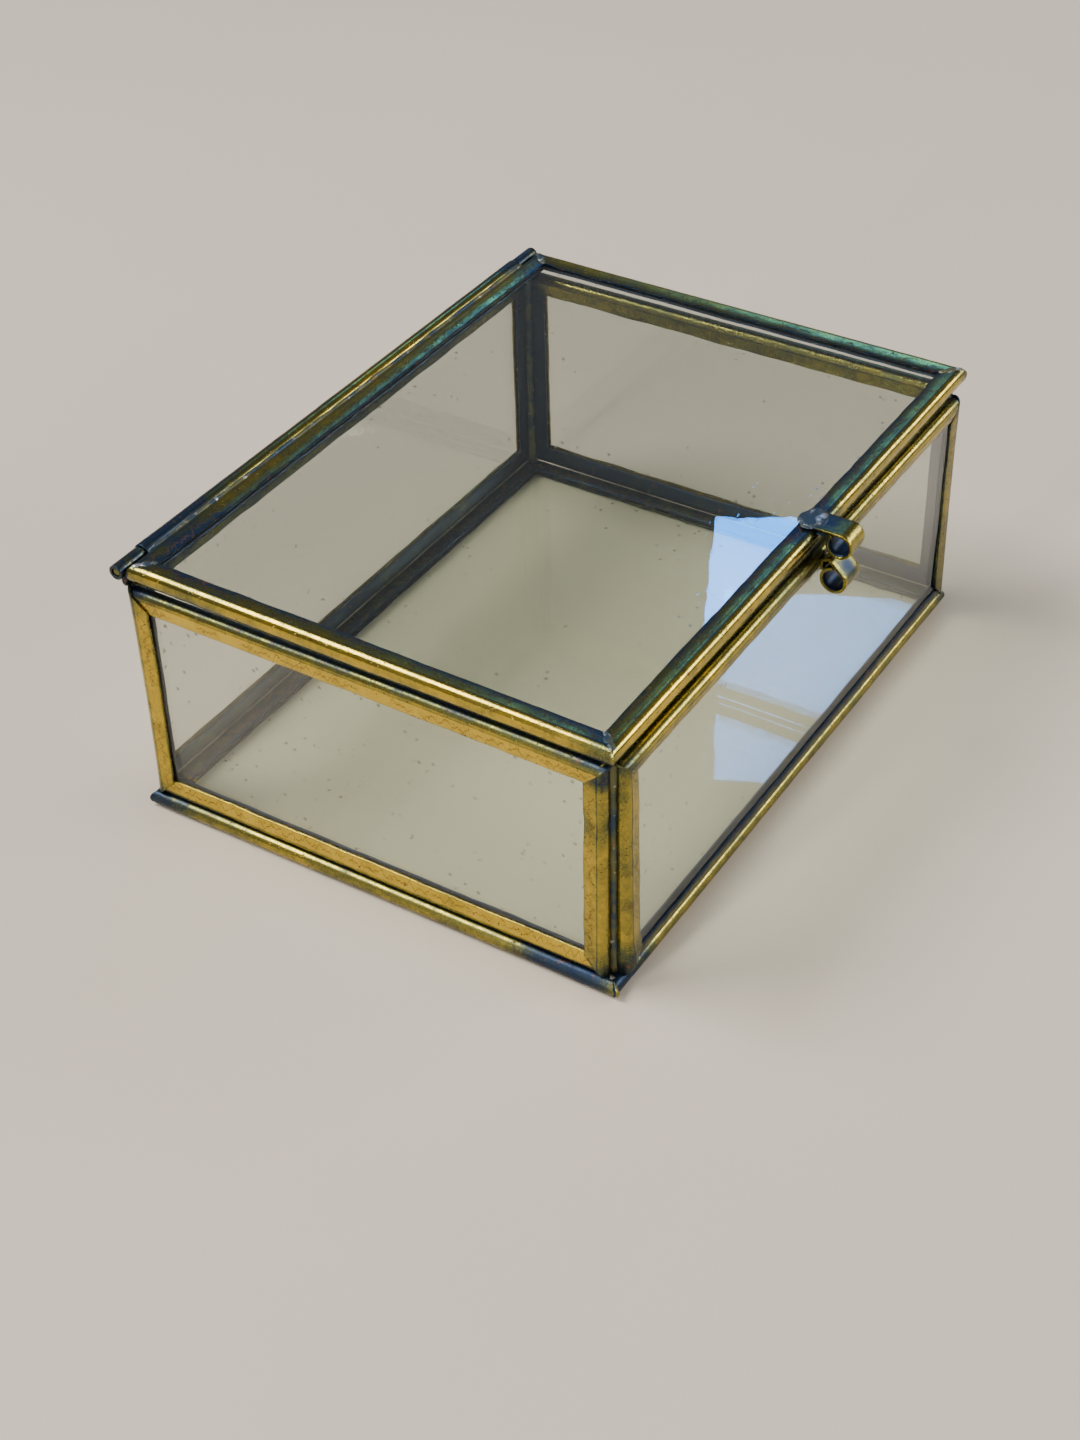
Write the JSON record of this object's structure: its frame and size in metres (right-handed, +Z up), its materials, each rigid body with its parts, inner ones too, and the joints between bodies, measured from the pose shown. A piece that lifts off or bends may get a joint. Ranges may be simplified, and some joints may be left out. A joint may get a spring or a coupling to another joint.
{
  "type": "glass trinket box",
  "caption": "Hinged rectangular trinket box of clear glass panes framed in folded brass came, with a curl-and-loop clasp.",
  "frame": {"origin": "on the table, under the middle of the whole part's footprint, from the clasp's curl to the rear wall", "axes": "+X along the box's long side, -Y towards the clasp, +Z up"},
  "size_m": [0.101, 0.0804, 0.0407],
  "materials": {
    "brass": "bright, tarnished olive and brown in places",
    "glass": "clear, thin",
    "solder": "dark patinated solder"
  },
  "bodies": {
    "box": {"base_came_front": "brass", "base_came_left": "brass", "base_came_rear": "brass", "base_came_right": "brass", "base_glass": "glass", "clasp_lower_loop": "brass", "clasp_lower_solder": "solder", "hinge_knuckle_left": "brass", "hinge_knuckle_right": "brass", "hinge_pin": "brass", "wall_corner_solder": "solder", "wall_front_came_bottom": "brass", "wall_front_came_left": "brass", "wall_front_came_right": "brass", "wall_front_came_top": "brass", "wall_front_glass": "glass", "wall_left_came_bottom": "brass", "wall_left_came_front": "brass", "wall_left_came_rear": "brass", "wall_left_came_top": "brass", "wall_left_glass": "glass", "wall_rear_came_bottom": "brass", "wall_rear_came_left": "brass", "wall_rear_came_right": "brass", "wall_rear_came_top": "brass", "wall_rear_glass": "glass", "wall_right_came_bottom": "brass", "wall_right_came_front": "brass", "wall_right_came_rear": "brass", "wall_right_came_top": "brass", "wall_right_glass": "glass"},
    "lid": {"lid_came_front": "brass", "lid_came_left": "brass", "lid_came_rear": "brass", "lid_came_right": "brass", "lid_corner_solder": "solder", "lid_glass": "glass", "clasp_upper_curl": "brass", "clasp_upper_solder": "solder", "hinge_barrel": "brass", "hinge_barrel_solder": "solder"}
  },
  "joints": [
    {"name": "lid_hinge", "type": "hinge", "parent": "box", "child": "lid", "pos_m": [0, 0.03875, 0.0394], "axis": [-1, 0, 0], "range_deg": [0, 205]}
  ]
}
